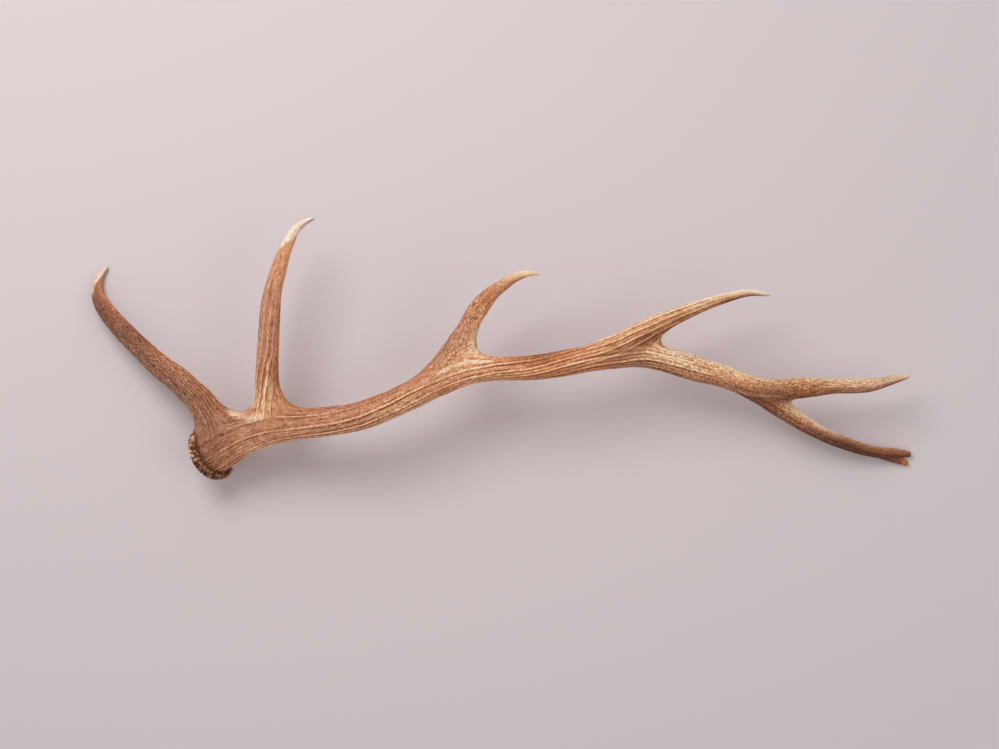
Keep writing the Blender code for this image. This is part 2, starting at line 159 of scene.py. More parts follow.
# Each limb: centre line; width of the web at its root; where the grain lies round the limb, as
# way along and turn in degrees; the turns of its standing ridges from there and how strong each is;
# their height in millimetres at ways along; that of its pearls; how speckled it is; the painted light
# and shade on its upper and lower edges, as factors making them lighter or darker; its colours at
# ways along.
LIMBS = {
    "beam": {
        "points": BEAM, "web": 0,
        "grain": [(0, 56), (100, 50), (210, 46), (270, 35), (345, 29), (445, 22), (480, 12),
                  (520, 0), (560, -17), (600, -27), (650, -36), (690, -50), (760, -55),
                  (900, -60), (1144, -70)],
        "crests": [-86, -42, -20, 0, 15, 31, 47, 63, 98, 138, 172, 206, 240],
        "strengths": [0.4, 0.9, 0.2, 1.2, 0.5, 0.9, 0.5, 0.8, 0.5, 0.5, 0.5, 0.5, 0.5],
        "ridge": [(0, 0.5), (90, 0.8), (220, 1.2), (650, 1.2), (800, 0.8), (1000, 0.5), (1144, 0.4)],
        "pearl": [(0, 0.7), (150, 0.5), (400, 0.35), (900, 0.35), (1144, 0.3)],
        "speckle": [(0, 0.45), (200, 0.5), (300, 0.7), (600, 0.5), (700, 0.7), (730, 0.9),
                    (780, 1.3), (860, 1.2), (900, 1.0), (1144, 0.4)],
        # Painted light and shade on the upper and lower edges.
        "edges": [(0, 1.0, 1.7), (80, 1.0, 1.9), (130, 0.9, 1.5), (180, 0.8, 1.1), (230, 0.8, 0.85),
                  (280, 0.75, 0.9), (330, 0.8, 1.1), (385, 0.95, 0.36), (430, 1.45, 0.8),
                  (480, 1.0, 0.95), (530, 0.38, 0.55), (580, 0.75, 0.75), (630, 1.7, 1.4),
                  (680, 0.7, 0.6), (730, 1.1, 0.22), (780, 1.4, 0.5), (830, 2.0, 0.55),
                  (900, 1.5, 0.5), (940, 3.7, 0.45), (980, 6.0, 0.35), (1030, 6.4, 0.95),
                  (1080, 4.3, 0.55), (1144, 2.9, 1.05)],
        # The darker tones near 635 and 870 are partly painted shade, at the forks of the royal and the
        # fifth tine.
        "tones": [(0, (140, 90, 64)), (60, (170, 114, 84)), (85, (186, 131, 100)),
                  (120, (185, 125, 93)), (180, (197, 137, 103)), (260, (203, 143, 108)),
                  (340, (210, 150, 111)), (430, (221, 156, 118)), (480, (212, 143, 101)),
                  (580, (208, 140, 98)), (635, (176, 115, 83)), (680, (200, 146, 110)),
                  (730, (250, 196, 152)), (780, (225, 165, 124)), (830, (199, 138, 96)),
                  (870, (139, 84, 55)), (900, (158, 102, 71)), (930, (188, 132, 95)),
                  (980, (150, 97, 68)), (1030, (104, 59, 36)), (1144, (118, 68, 42))],
    },
    "chip": {"points": CHIP, "web": 5},
    "brow": {
        "points": BROW, "web": 84, "grain": [(0, 10), (60, 2), (150, 13), (357, 0)],
        "crests": [-14, 0, 14, 27, 42, 60, 80, 115, 160, 200, 240, 280, 322],
        "strengths": [0.4, 0.55, 0.35, 0.45, 0.3, 0.4, 0.3, 0.3, 0.3, 0.3, 0.3, 0.3, 0.35],
        "ridge": [(0, 0.6), (60, 0.9), (130, 1.0), (180, 0.5), (260, 0.3), (330, 0.0)],
        "pearl": [(0, 0.8), (120, 0.8), (240, 0.6), (300, 0.3), (330, 0.0)],
        "speckle": [(0, 0.35), (70, 0.5), (130, 0.9), (250, 1.0), (330, 0.3)],
        # Painted light and shade on the upper and lower edges.
        "edges": [(0, 1.2, 0.75), (80, 2.6, 1.8), (120, 1.9, 1.75), (160, 1.7, 2.1),
                  (200, 2.9, 1.5), (240, 2.4, 1.8), (280, 2.0, 2.7), (320, 1.6, 2.1),
                  (357, 1.3, 1.6)],
        "tones": [(0, (156, 105, 77)), (80, (137, 88, 62)), (120, (139, 91, 64)), (160, (136, 87, 61)),
                  (205, (119, 73, 50)), (290, (121, 74, 51)), (325, (144, 95, 69)),
                  (357, (146, 104, 78))],
    },
    "bez": {
        "points": BEZ, "web": 84, "grain": [(0, 0), (60, 8), (120, 40), (200, 50), (339, 60)],
        "crests": [-40, -12, 12, 48, 92, 142, 188, 234, 284],
        "strengths": [0.5, 0.6, 0.4, 0.4, 0.6, 0.4, 0.5, 0.4, 0.5],
        "ridge": [(0, 0.8), (80, 1.0), (180, 0.6), (250, 0.3), (280, 0.0)],
        "pearl": [(0, 0.5), (150, 0.4), (240, 0.3), (275, 0.0)],
        "speckle": [(0, 0.4), (200, 0.4), (260, 0.7), (290, 0.1)],
        # Painted light and shade on the upper and lower edges.
        "edges": [(0, 0.8, 0.4), (40, 0.9, 0.4), (80, 1.35, 0.85), (120, 1.25, 1.05),
                  (240, 1.2, 1.25), (280, 1.0, 1.2), (339, 1.0, 0.8)],
        "tones": [(0, (205, 145, 110)), (40, (252, 190, 142)), (80, (190, 125, 88)),
                  (120, (195, 134, 102)), (160, (188, 129, 99)), (210, (193, 134, 102)),
                  (245, (206, 143, 102)), (280, (216, 156, 112)), (339, (224, 180, 142))],
    },
    "trez": {
        "points": TREZ, "web": 62, "grain": [(0, 0), (110, 30), (180, 40), (279, 40)],
        "crests": [-62, -20, 32, 78, 122, 168, 212, 256],
        "strengths": [0.3, 0.3, 0.4, 0.4, 0.4, 0.4, 0.4, 0.4],
        "ridge": [(0, 1.0), (90, 0.7), (180, 0.4), (240, 0.0)],
        "pearl": [(0, 0.5), (120, 0.7), (200, 0.5), (245, 0.0)],
        "speckle": [(0, 0.5), (80, 0.9), (200, 1.0), (250, 0.4), (279, 0.1)],
        # Painted light and shade on the upper and lower edges.
        "edges": [(0, 0.5, 0.95), (60, 0.5, 0.95), (95, 0.75, 1.8), (130, 0.9, 2.6), (165, 1.2, 2.0),
                  (200, 0.9, 1.25), (235, 1.1, 0.65), (279, 1.0, 0.5)],
        "tones": [(0, (212, 150, 112)), (60, (218, 158, 120)), (95, (200, 143, 108)),
                  (130, (194, 138, 106)), (165, (194, 132, 96)), (205, (194, 128, 88)),
                  (235, (212, 156, 116)), (279, (232, 190, 150))],
    },
    "royal": {
        "points": ROYAL, "web": 46, "grain": [(0, 0), (60, 10), (110, 23), (160, 27), (300, 35)],
        "crests": [-78, -40, -6, 27, 66, 112, 160, 208, 250],
        "strengths": [0.7, 0.8, 1.0, 1.0, 0.8, 0.5, 0.5, 0.5, 0.5],
        "ridge": [(0, 1.3), (120, 1.2), (220, 0.5), (260, 0.1)],
        "pearl": [(0, 0.4), (150, 0.35), (250, 0.1)],
        "speckle": [(0, 0.5), (250, 0.6), (290, 0.1)],
        # Painted light and shade on the upper and lower edges.
        "edges": [(0, 1.4, 0.3), (90, 1.2, 0.3), (130, 1.5, 0.46), (200, 1.8, 0.45),
                  (235, 2.2, 0.15), (313, 1.7, 0.22)],
        "tones": [(0, (212, 152, 111)), (90, (218, 157, 115)), (165, (213, 154, 112)),
                  (200, (222, 171, 130)), (235, (212, 158, 118)), (280, (249, 213, 184)),
                  (313, (246, 214, 188))],
    },
    "fifth": {
        "points": FIFTH, "web": 24, "grain": [(0, 0), (134, 30), (337, 30)],
        "crests": [-74, -28, 22, 66, 112, 160, 206, 248],
        "strengths": [0.4, 0.4, 0.4, 0.6, 0.5, 0.5, 0.4, 0.4],
        "ridge": [(0, 0.8), (130, 0.6), (260, 0.4), (320, 0.1)],
        "pearl": [(0, 0.4), (200, 0.45), (300, 0.2)],
        "speckle": [(0, 0.8), (200, 1.0), (300, 0.6), (337, 0.2)],
        # Painted light and shade on the upper and lower edges.
        "edges": [(0, 2.0, 0.4), (100, 2.8, 0.5), (140, 2.6, 0.42), (180, 2.7, 0.7), (220, 2.3, 0.38),
                  (260, 1.7, 0.4), (300, 0.8, 0.2), (337, 1.0, 0.2)],
        "tones": [(0, (216, 162, 124)), (60, (218, 162, 123)), (100, (195, 134, 96)),
                  (140, (160, 106, 75)), (180, (167, 109, 73)), (220, (190, 139, 101)),
                  (270, (219, 171, 138)), (310, (228, 184, 150)), (337, (224, 182, 150))],
    },
}

# Each polished tip: way where the ivory begins, over how far, the side it starts on first and by
# how much, its colour and how dark its very end is.
TIPS = {
    "brow": (330, 12, (-0.95, 0.1, 0.3), 26, (232, 206, 180), 0.6),
    "bez": (282, 10, (-0.9, -0.3, 0.2), 16, (244, 226, 206), 0.6),
    "trez": (238, 34, (-0.5, 0.8, 0.3), 14, (241, 210, 172), 0.3),
    "royal": (272, 30, (-0.2, 0.9, 0.3), 16, (246, 216, 196), 0.1),
    "fifth": (318, 22, (0.0, 0.9, 0.3), 12, (232, 198, 168), 0.2),
}

# Ridges and streaks of the upper side, in plan: half width, how far they stand, how pale they are,
# or how dark where below zero, and their points.
STREAKS = [
    (2.3, 0.7, 0.8, [(-99, -46), (-86, -36), (-71, -28), (-58, -24), (-45, -21), (-24, -20),
                     (-4, -19)]),
    (1.8, 0.6, 0.5, [(86, -26), (115, -22), (145, -17), (167, -13), (189, -7)]),
    (2.0, 0.7, 0.35, [(208, -3), (222, -6), (244, -12), (274, -23), (297, -32), (319, -41)]),
    (2.0, 0.6, 0.25, [(326, -54), (348, -62), (363, -66), (386, -71), (408, -72), (430, -71)]),
    (1.4, 0.4, 0.8, [(-358, -104), (-352, -88), (-348, -67), (-344, -45), (-341, -16)]),
    (1.2, 0.3, 0.6, [(-350, -102), (-346, -84), (-343, -60), (-340, -42)]),
    (1.2, 0.3, 0.5, [(-341, -98), (-338, -80), (-336, -60), (-334, -34)]),
    (5.0, 0.2, 0.7, [(-409, -90), (-392, -98), (-370, -105), (-346, -98)]),
    (3.0, 0.3, 0.1, [(-40, 3), (-40, 21), (-34, 35), (-22, 52)]),
    (1.4, -0.2, -1.8, [(-298, 174), (-292, 179), (-286, 184), (-280, 188), (-274, 191)]),
    # Painted shade in the recess where the royal tine leaves the beam; it is sunk a little too.
    (3.4, -0.4, -0.8, [(148, -2), (177, 4), (206, 13), (229, 23)]),
    (3.0, -0.2, -0.6, [(285, -22), (310, -27), (333, -36), (354, -45), (380, -54)]),
    (2.6, -0.3, -0.7, [(352, -66), (372, -76), (396, -80), (420, -80)]),
]

# Colours in screen values, and what the shader multiplies its tone by.
CREAM = (243, 212, 176)
BARE_BONE = (196, 160, 134)
CHIP_END = (200, 118, 66)
SEAL_BONE = (190, 160, 132)
FLOOR_COLOUR = (214, 204, 208)
FURROW_TINT = (0.33, 0.23, 0.18, 1)
CREST_TINT = (1.7, 1.95, 2.15, 1)
SPECK_TINT = (0.48, 0.37, 0.31, 1)
BLOT_TINT = (0.5, 0.38, 0.32, 1)
FLECK_TINT = (1.65, 1.9, 2.1, 1)
PALEST = (0.93, 0.79, 0.63, 1)

# Each saw cut through a tine: distance along its centre line, and how far from the tine its web is
# still cut. Those through the beam: distance along it.
SAW_CUTS = {
    "brow": (88, 22), "bez": (76, 22), "trez": (122, 22), "royal": (140, 22), "fifth": (178, 14),
}
BEAM_CUTS = [165, 466, 746, 938]

# How far from its middle a saw cut is straightened, how near its plane counts as close, and how
# near a point must be to be moved onto it.
SAW_REACH = 40
SAW_CLOSE = 14
SAW_SNAP = 1.5

# The pieces along the beam, each tine's own piece, the piece that its root belongs to, and the
# material slot of each piece.
BEAM_PIECES = ["burr_base", "lower_beam", "middle_beam", "upper_beam", "beam_tip"]
TINE_PIECES = {
    "brow": "brow_tine", "bez": "bez_tine", "trez": "trez_tine", "royal": "royal_tine",
    "fifth": "fifth_tine",
}
TINE_ROOTS = {
    "brow": "burr_base", "bez": "burr_base", "trez": "lower_beam", "royal": "middle_beam",
    "fifth": "upper_beam",
}
SLOTS = {
    "burr_base": "base_bone", "brow_tine": "dark_tine", "bez_tine": "tine", "trez_tine": "tine",
    "lower_beam": "beam", "middle_beam": "beam", "upper_beam": "beam",
    "royal_tine": "pale_tine", "fifth_tine": "pale_tine", "beam_tip": "dark_tip",
}

# How strong the shared bone is in each slot.
BONES = {
    "base_bone": {"Furrow Dark": 0.88, "Crest Pale": 0.82, "Speck Amount": 0.75},
    "dark_tine": {"Furrow Dark": 0.85, "Crest Pale": 0.84, "Speck Amount": 0.82},
    "tine": {"Furrow Dark": 0.83, "Crest Pale": 0.8, "Speck Amount": 0.8},
    "beam": {"Furrow Dark": 0.86, "Crest Pale": 0.81, "Speck Amount": 0.84},
    "pale_tine": {"Furrow Dark": 0.84, "Crest Pale": 0.78, "Speck Amount": 0.86},
    "dark_tip": {"Furrow Dark": 0.87, "Crest Pale": 0.76, "Speck Amount": 0.79},
}

# Rings of pearls on the burr: radius, height along the burr's axis, count, size, unevenness.
PEARL_RINGS = [
    (40.5, -3.4, 42, 2.8, 1.1), (41.0, 1.0, 36, 3.2, 1.2), (39.0, 4.8, 40, 2.6, 1.3),
    (38.0, -7.2, 44, 2.1, 1.2),
]

# The camera, looking straight down, the lights, aimed at the middle of the floor, and the floor.
CAMERA_PLACE = (-0.0027, -0.0371, 2.9994)
CAMERA_LENS = 70.6
CAMERA_SENSOR = 36.0
LIGHTS = {
    "key": {"place": (-1.1, 1.7, 2.3), "size": 1.7, "power": 50, "colour": (1.0, 0.985, 0.96)},
    "fill": {"place": (1.6, -0.4, 2.4), "size": 1.6, "power": 8, "colour": (1.0, 0.98, 0.95)},
}
SURROUND = (1.0, 0.97, 0.94, 1)
SURROUND_STRENGTH = 0.5
FLOOR_HALF = 6.0


def smooth_path(points, step):
    """A rounded path through the points, with rows of x, y, z and half width about a step apart."""
    rows = np.array(points, float) - np.array(MIDDLE + (0,))
    before = np.vstack([2 * rows[0] - rows[1], rows[:-1]])
    after = np.vstack([rows[1:], 2 * rows[-1] - rows[-2]])
    slopes = (after - before) / 2
    path = [rows[:1]]
    for a, b, sa, sb in zip(rows, rows[1:], slopes, slopes[1:]):
        count = max(2, math.ceil(np.linalg.norm(b[:3] - a[:3]) / step))
        t = np.linspace(0, 1, count + 1)[1:, None]
        path.append(
            (2 * t**3 - 3 * t**2 + 1) * a + (t**3 - 2 * t**2 + t) * sa
            + (3 * t**2 - 2 * t**3) * b + (t**3 - t**2) * sb
        )
    return np.vstack(path)


def side_vectors(path):
    """A direction square to the path at each of its points, carried along without twisting."""
    tangents = np.gradient(path[:, :3], axis=0)
    tangents /= np.linalg.norm(tangents, axis=1)[:, None]
    sides = np.empty_like(tangents)
    side = np.array([0.0, 0.0, 1.0])
    for i, tangent in enumerate(tangents):
        side = side - tangent * side.dot(tangent)
        side /= np.linalg.norm(side)
        sides[i] = side
    return tangents, sides


class Limb:
    """A tapered tube: its distance field, and where a point lies along and around it."""

    BLOCK = 10

    def __init__(self, spec):
        self.spec = spec
        self.web = spec["web"]
        self.path = smooth_path(spec["points"], FIELD_STEP)
        self.tangents, self.sides = side_vectors(self.path)
        gaps = np.linalg.norm(np.diff(self.path[:, :3], axis=0), axis=1)
        self.along = np.concatenate([[0], np.cumsum(gaps)])
        self.length = self.along[-1]
        self.spacing = np.gradient(self.along)
        self.bends = np.gradient(self.tangents, axis=0) / self.spacing[:, None]

    def nearest(self, points):
        """Distance from each point to the tube's surface, and the row of the path it lies at."""
        best = np.full(len(points), FAR)
        row = np.zeros(len(points))
        for start in range(0, len(self.path) - 1, self.BLOCK):
            block = self.path[start:start + self.BLOCK + 1]
            low = block[:, :3].min(0) - WEB_REACH
            high = block[:, :3].max(0) + WEB_REACH
            near = np.flatnonzero(((points > low) & (points < high)).all(1))
            here, best_here, row_here = points[near], best[near], row[near]
            for i, (a, b) in enumerate(zip(block, block[1:]), start):
                span = b[:3] - a[:3]
                offset = here - a[:3]
                t = np.clip(offset @ span / span.dot(span), 0, 1)
                offset -= t[:, None] * span
                gap = np.sqrt((offset**2).sum(1)) - (a[3] + t * (b[3] - a[3]))
                nearer = gap < best_here
                best_here[nearer] = gap[nearer]
                row_here[nearer] = (i + t)[nearer]
            best[near], row[near] = best_here, row_here
        return best, row

    def between(self, values, row):
        """Values kept for each row of the path, at places between the rows."""
        index = np.minimum(row.astype(int), len(self.path) - 2)
        part = (row - index)[:, None]
        return values[index] * (1 - part) + values[index + 1] * part

    def squared(self, points, row, passes=4):
        """Slides rows along until the path runs square to each point, so that the grain is smooth."""
        rows = np.arange(len(self.path))
        for _ in range(passes):
            offset = points - self.between(self.path[:, :3], row)
            ahead = (offset * self.between(self.tangents, row)).sum(1)
            bend = (offset * self.between(self.bends, row)).sum(1)
            slide = ahead / np.maximum(1 - bend, 0.4) / np.interp(row, rows, self.spacing)
            row = np.clip(row + np.clip(slide, -1, 1), 0, len(self.path) - 1)
        return row

    def outward(self, points, row):
        """The direction from the path to each point."""
        out = points - self.between(self.path[:, :3], row)
        return out / np.maximum(np.linalg.norm(out, axis=1), 1e-6)[:, None]

    def place(self, points, row):
        """Way along and turn around, in radians, of each point."""
        out = self.outward(points, row)
        side, tangent = self.between(self.sides, row), self.between(self.tangents, row)
        across = np.cross(tangent, side)
        turn = np.arctan2((out * across).sum(1), (out * side).sum(1))
        return self.way(row), turn

    def way(self, row):
        """Distance along the path."""
        return np.interp(row, np.arange(len(self.along)), self.along)

    def half_width(self, row):
        return np.interp(row, np.arange(len(self.path)), self.path[:, 3])

    def saw_plane(self, cut):
        """The middle of the limb where it is sawn and the direction square to the saw."""
        row = np.interp([cut], self.along, np.arange(len(self.along)))
        return self.between(self.path[:, :3], row)[0], unit(self.between(self.tangents, row)[0])

    def beyond_cut(self, cut, points, way):
        """How far points lie beyond a saw cut, measured from the saw's plane close to it."""
        centre, tangent = self.saw_plane(cut)
        return np.where(np.abs(way - cut) < SAW_CLOSE, (points - centre) @ tangent, way - cut)


def unit(vector):
    """The vector made one unit long."""
    return np.array(vector, float) / np.linalg.norm(vector)


def burr_frame():
    """The burr's centre, its axis and two directions across it."""
    axis = unit(BURR_AXIS)
    side = unit(np.cross(axis, (0.0, 0.0, 1.0)))
    return np.array(BURR_CENTRE) - np.array(MIDDLE), axis, side, np.cross(side, axis)


def burr_place(points):
    """Height along the burr's axis and distance from it, with the outward direction."""
    centre, axis, _, _ = burr_frame()
    offset = points - centre
    height = offset @ axis
    flat = offset - height[:, None] * axis
    radius = np.linalg.norm(flat, axis=1)
    return height, radius, flat / np.maximum(radius, 1e-6)[:, None]


def burr_distance(points):
    """Distance to the rounded disc of the burr and the direction away from it."""
    height, radius, flat = burr_place(points)
    over = np.maximum(radius - (BURR_RADIUS - BURR_ROUND), 0)
    above = np.sign(height) * np.maximum(np.abs(height) - (BURR_HALF_THICK - BURR_ROUND), 0)
    reach = np.hypot(over, above)
    out = flat * over[:, None] + above[:, None] * unit(BURR_AXIS)
    return reach - BURR_ROUND, out / np.maximum(reach, 1e-6)[:, None]


def above_seal(height, radius):
    """How far points lie above the domed face of the seal."""
    dome = SEAL_DOME * np.maximum(1 - (radius / SEAL_RADIUS) ** 2, 0)
    return height + SEAL_DEPTH + dome


def seal_distance(points):
    """Distance beyond the domed seal under the burr and the direction away from the antler."""
    height, radius, _ = burr_place(points)
    beyond = np.minimum(-above_seal(height, radius), SEAL_REACH - radius)
    return beyond, np.broadcast_to(-unit(BURR_AXIS), points.shape)


def blend(first, second, web):
    """Joins two fields, filling only where their surfaces face each other."""
    (a, na), (b, nb) = first, second
    facing = (1 - (na * nb).sum(1)) / 2
    width = web * facing + 1e-3
    near = np.maximum(width - np.abs(a - b), 0) / width
    share = np.where(a < b, 1 - near / 2, near / 2)[:, None]
    out = na * share + nb * (1 - share)
    out /= np.maximum(np.linalg.norm(out, axis=1), 1e-6)[:, None]
    return np.minimum(a, b) - near**2 * width / 4, out


def cut_by(first, second, rounding):
    """What lies inside both fields, with a rounded edge where they meet."""
    (a, na), (b, nb) = first, second
    near = np.maximum(rounding - np.abs(a - b), 0) / rounding
    share = np.where(a > b, 1 - near / 2, near / 2)[:, None]
    out = na * share + nb * (1 - share)
    out /= np.maximum(np.linalg.norm(out, axis=1), 1e-6)[:, None]
    return np.maximum(a, b) + near**2 * rounding / 4, out


def bone_surface(points, limbs):
    """Distance to the smooth webbed surface of the whole antler and the direction away from it."""
    field = None
    for limb in limbs.values():
        gap, row = limb.nearest(points)
        near = np.flatnonzero(gap < WEB_REACH)
        row[near] = limb.squared(points[near], row[near], 2)
        part = (gap, limb.outward(points, row))
        field = part if field is None else blend(field, part, limb.web)
    field = blend(field, burr_distance(points), BURR_WEB)
    return cut_by(field, seal_distance(points), SEAL_ROUND)


def settle(points, limbs, passes, reach):
    """Draws points that are within reach onto the smooth surface."""
    for _ in range(passes):
        gap, out = bone_surface(points, limbs)
        step = np.where(np.abs(gap) < reach, np.clip(gap, -4, 4), 0) * 0.8
        points = points - out * step[:, None]
    return points


def noise(place, seed):
    """Smooth noise between -1 and 1 whose cells are one unit wide."""
    cell = np.floor(place).astype(np.int64)
    part = place - cell
    part = part * part * (3 - 2 * part)
    total = np.zeros(len(place))
    for corner in itertools.product((0, 1), repeat=3):
        key = (cell + corner) @ np.array([374761393, 668265263, 2147483647]) + seed * 1013904223
        key = ((key ^ (key >> 13)) * 1274126177) & 0x7FFFFFFF
        value = ((key ^ (key >> 15)) & 0xFFFF) / 32767.5 - 1
        weight = np.prod(np.where(corner, part, 1 - part), axis=1)
        total += value * weight
    return total


def grain(flow, kind):
    """Noise drawn out along the grain, of a kind listed in GRAIN."""
    size, seed = GRAIN[kind]
    return noise(flow / size, seed)


def table_lookup(table, way):
    """Values of a table of ways and numbers at each way."""
    ways, values = zip(*table)
    return np.interp(way, ways, values)


def linear(colour):
    """A colour given in screen values, as the shader needs it."""
    c = np.array(colour, float) / 255
    return np.where(c <= 0.04045, c / 12.92, ((c + 0.055) / 1.055) ** 2.4)


def colour_lookup(table, way):
    """Colours of a table of ways and screen colours at each way."""
    ways = [row[0] for row in table]
    colours = np.array([linear(row[1]) for row in table])
    return np.column_stack([np.interp(way, ways, colours[:, i]) for i in range(3)])


def grain_flow(limb, way, turn, half_width):
    """Way along the grain and two places across it, which turns noise into streaks."""
    turned = turn - np.radians(table_lookup(limb.spec["grain"], way))
    reach = 8 + 0.6 * half_width
    return turned, np.column_stack([way, reach * np.cos(turned), reach * np.sin(turned)])


def standing_ridges(limb, flow, turned, half_width):
    """Narrow crests with a furrow beside each: height between about -1 and 1."""
    crests = np.array(limb.spec["crests"], float)
    crests = np.append(crests, crests[0] + 360)
    strengths = np.array(limb.spec["strengths"] + limb.spec["strengths"][:1], float)
    wander = 3.0 * grain(flow, "wander") + 1.3 * grain(flow, "short wander")
    degrees = (np.degrees(turned) + wander - crests[0]) % 360 + crests[0]
    index = np.clip(np.searchsorted(crests, degrees) - 1, 0, len(crests) - 2)
    low, high = crests[index], crests[index + 1]
    side = np.where(degrees - low < high - degrees, degrees - low, degrees - high)
    number = index + (degrees - low >= high - degrees)
    across = np.radians(side) * half_width
    vary = noise(np.column_stack([flow[:, 0] / 80, number * 7.3, number * 0]), 5)
    strength = np.clip(strengths[number] * (1 + 0.6 * vary), 0.05, 1.2)
    crest = np.exp(-((across / CREST_WIDTH) ** 2))
    furrow = np.exp(-(((across - FURROW_OFFSET) / FURROW_WIDTH) ** 2))
    furrow += 0.5 * np.exp(-(((across + FURROW_OFFSET) / FURROW_WIDTH) ** 2))
    return (crest - 0.9 * furrow) * strength


def limb_relief(limb, points, row):
    """One limb's relief in millimetres, how dark its furrows and pale its crests are, its grain, ivory
    and colour, with painted light and shade on its upper and lower edges.
    """
    spec = limb.spec
    way, turn = limb.place(points, row)
    half_width = limb.half_width(row)
    turned, flow = grain_flow(limb, way, turn, half_width)
    ridge = standing_ridges(limb, flow, turned, half_width)
    thread = np.clip(1.2 - 5.0 * np.abs(grain(flow, "thread")), -1, 1)
    dash = grain(flow, "dash") + 0.5 * grain(flow, "long dash")
    pearl = np.clip(grain(flow, "pearl") * 1.9 - 0.2, 0, 1)
    lumps = grain(flow, "lump")
    ridge_height = table_lookup(spec["ridge"], way)
    pearl_height = table_lookup(spec["pearl"], way)
    amount = np.clip(ridge_height + pearl_height, 0, 1)
    speckle = table_lookup(spec["speckle"], way)
    thread *= 1 - 0.7 * speckle
    height = ridge_height * ridge * 0.9 + amount * (thread * 0.2 + dash * 0.14 + lumps * 0.4)
    height += pearl_height * pearl * 0.5
    wear_and_painted_shade = np.minimum(ridge_height, 1) * ridge * 1.4
    wear_and_painted_shade += amount * (0.26 * thread + 0.3 * dash) + pearl_height * (0.9 * pearl - 0.15)
    return {
        "way": way, "flow": flow, "height": height, "wear_and_painted_shade": wear_and_painted_shade, "ivory": np.zeros(len(way)),
        "tone": colours_with_painted_light(spec, way, turn), "speckle": speckle,
    }


def colours_with_painted_light(spec, way, turn):
    """A limb's colours with painted light and shade: lighter or darker towards its upper and lower
    edges.
    """
    ways, upper, lower = zip(*spec["edges"])
    side = -np.sin(turn)
    above = np.interp(way, ways, upper)[:, None] ** np.maximum(side, 0)[:, None]
    below = np.interp(way, ways, lower)[:, None] ** np.maximum(-side, 0)[:, None]
    # The painted light and shade change red, green and blue by different powers.
    painted_light_tint = np.array([0.7, 1.0, 1.2])
    change = above**painted_light_tint * below ** np.where(below > 1, 1.0, painted_light_tint)
    return np.minimum(colour_lookup(spec["tones"], way) * change, 0.93)


def add_tip(name, found, points, limb, row):
    """The ivory of a polished tip, which begins further down on one side, and its dark end."""
    start, spread, direction, shift, colour, dark = TIPS[name]
    out = limb.outward(points, row)
    ragged = 5.0 * grain(found["flow"], "ragged")
    reached = found["way"] + shift * (out @ unit(direction)) + ragged
    ivory = np.clip((reached - start) / spread, 0, 1)
    ivory = ivory * ivory * (3 - 2 * ivory)
    rings = 0.12 * grain(found["flow"], "ring") + 0.1 * grain(found["flow"], "band")
    stains = np.clip(grain(found["flow"], "stain") * 2 - 0.3, 0, 1)
    ivory *= 1 - 0.6 * stains * np.clip((limb.length - found["way"] - 14) / 12, 0, 1)
    end = np.clip((found["way"] - limb.length + 16) / 14, 0, 1) * np.clip(0.4 - out[:, 1], 0, 1)
    pale = linear(colour) * (1 + rings - dark * end)[:, None]
    found["ivory"] = ivory * (1 - 0.5 * dark * end)
    found["tone"] = found["tone"] * (1 - ivory)[:, None] + pale * ivory[:, None]
    found["wear_and_painted_shade"] = found["wear_and_painted_shade"] * (1 - 0.75 * ivory)
    found["speckle"] = found["speckle"] * (1 - 0.6 * ivory)


def plan_distance(points, line):
    """Distance in plan from each point to a line, and how far along it from 0 to 1."""
    line = np.array(line, float) - np.array(MIDDLE[:2])
    best = np.full(len(points), FAR)
    part = np.zeros(len(points))
    for i, (a, b) in enumerate(zip(line, line[1:])):
        span = b - a
        offset = points[:, :2] - a
        t = np.clip(offset @ span / span.dot(span), 0, 1)
        gap = np.linalg.norm(offset - t[:, None] * span, axis=1)
        nearer = gap < best
        best[nearer] = gap[nearer]
        part[nearer] = ((i + t) / (len(line) - 1))[nearer]
    return best, part


def add_streaks(found, points, normals):
    """The ridges and pale streaks that stand out on the upper side, and dark lines, one of them
    painted shade where the royal leaves the beam.
    """
    upper = np.clip(normals[:, 2] * 3, 0, 1)
    for number, (width, stand, pale, line) in enumerate(STREAKS):
        gap, part = plan_distance(points, line)
        ends = np.clip(np.minimum(part, 1 - part) * 7, 0, 1)
        broken = np.clip(0.8 + 0.6 * noise(found["flow"] / (13, 4, 4), 31 + number), 0.1, 1.1)
        crest = np.exp(-((gap / width) ** 2)) * ends * upper
        edge = np.exp(-(((gap - 2.2 * width) / (0.6 * width)) ** 2)) * ends * upper
        found["height"] += stand * (crest - 0.4 * edge)
        found["wear_and_painted_shade"] += 0.5 * pale * crest * broken - 0.3 * edge * (pale > 0)
        paint(found, CREAM, np.clip(pale * crest * broken, 0, 0.9))


def weigh(first, second, share):
    """Mixes two sets of values."""
    share = share if first.ndim == 1 else share[:, None]
    return first * (1 - share) + second * share


def paint(found, colour, share):
    """Mixes a screen colour into the skin's own colour."""
    found["tone"] = weigh(found["tone"], linear(colour), share)


